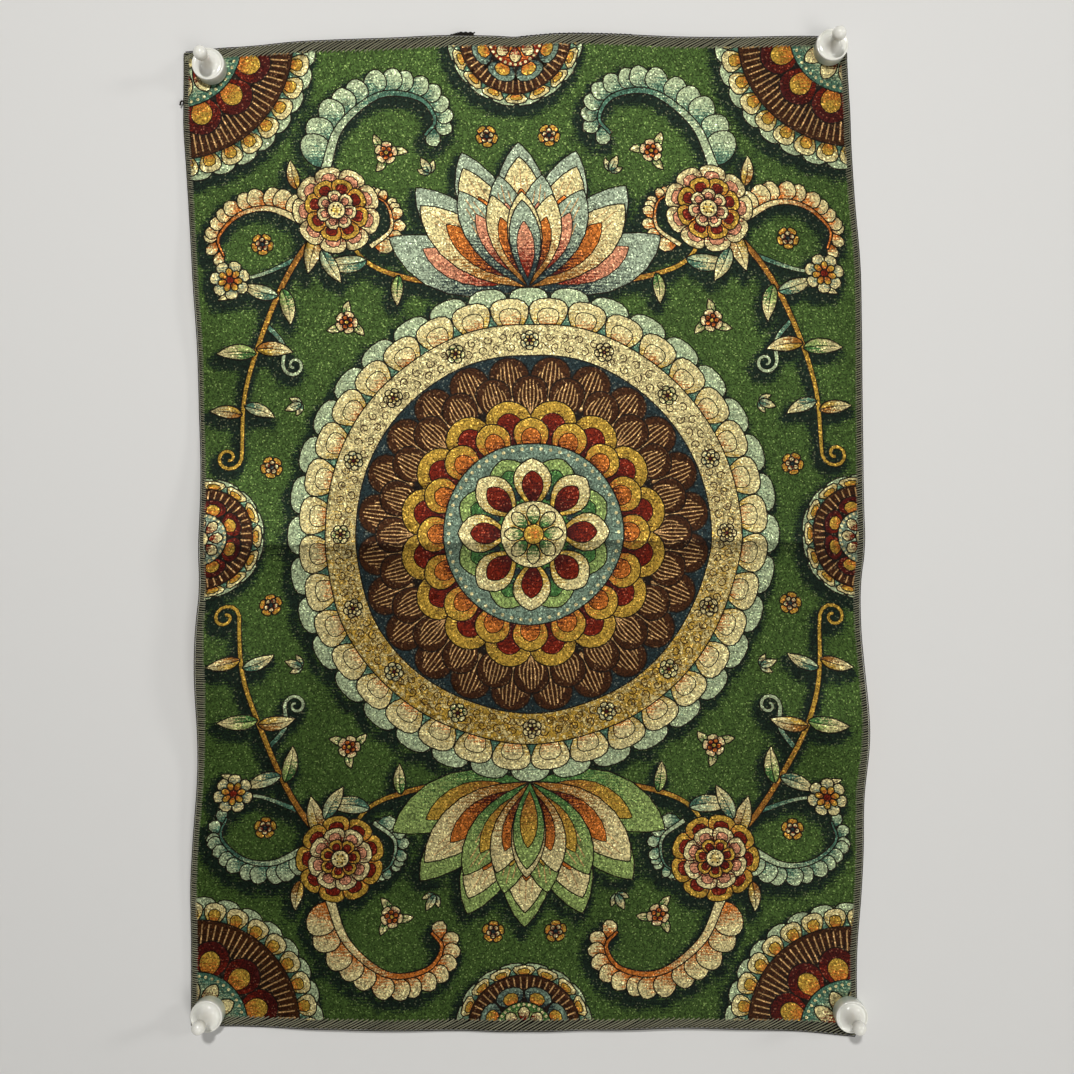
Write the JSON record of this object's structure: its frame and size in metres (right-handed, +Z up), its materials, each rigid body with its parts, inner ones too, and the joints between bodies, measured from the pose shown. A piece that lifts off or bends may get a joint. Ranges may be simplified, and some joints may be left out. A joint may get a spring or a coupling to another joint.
{
  "type": "woven thangka hanging held by push-pin magnets",
  "caption": "Upright rectangle of patterned brocade with an overlocked edge, held on a wall by a push-pin magnet at each corner.",
  "frame": {"origin": "on the wall behind the cloth, at the middle of its top edge", "axes": "+Z up, +X to the viewer's right, +Y into the wall; the face looks along -Y"},
  "size_m": [0.3086, 0.0211, 0.4547],
  "materials": {
    "brocade": "metallic-thread jacquard weave",
    "edging_thread": "overlocked grey thread",
    "white_plastic": "glossy, slightly translucent"
  },
  "bodies": {
    "root": {"cloth": "brocade", "magnet_top_left": "white_plastic", "magnet_top_right": "white_plastic", "magnet_bottom_left": "white_plastic", "magnet_bottom_right": "white_plastic"}
  },
  "joints": []
}
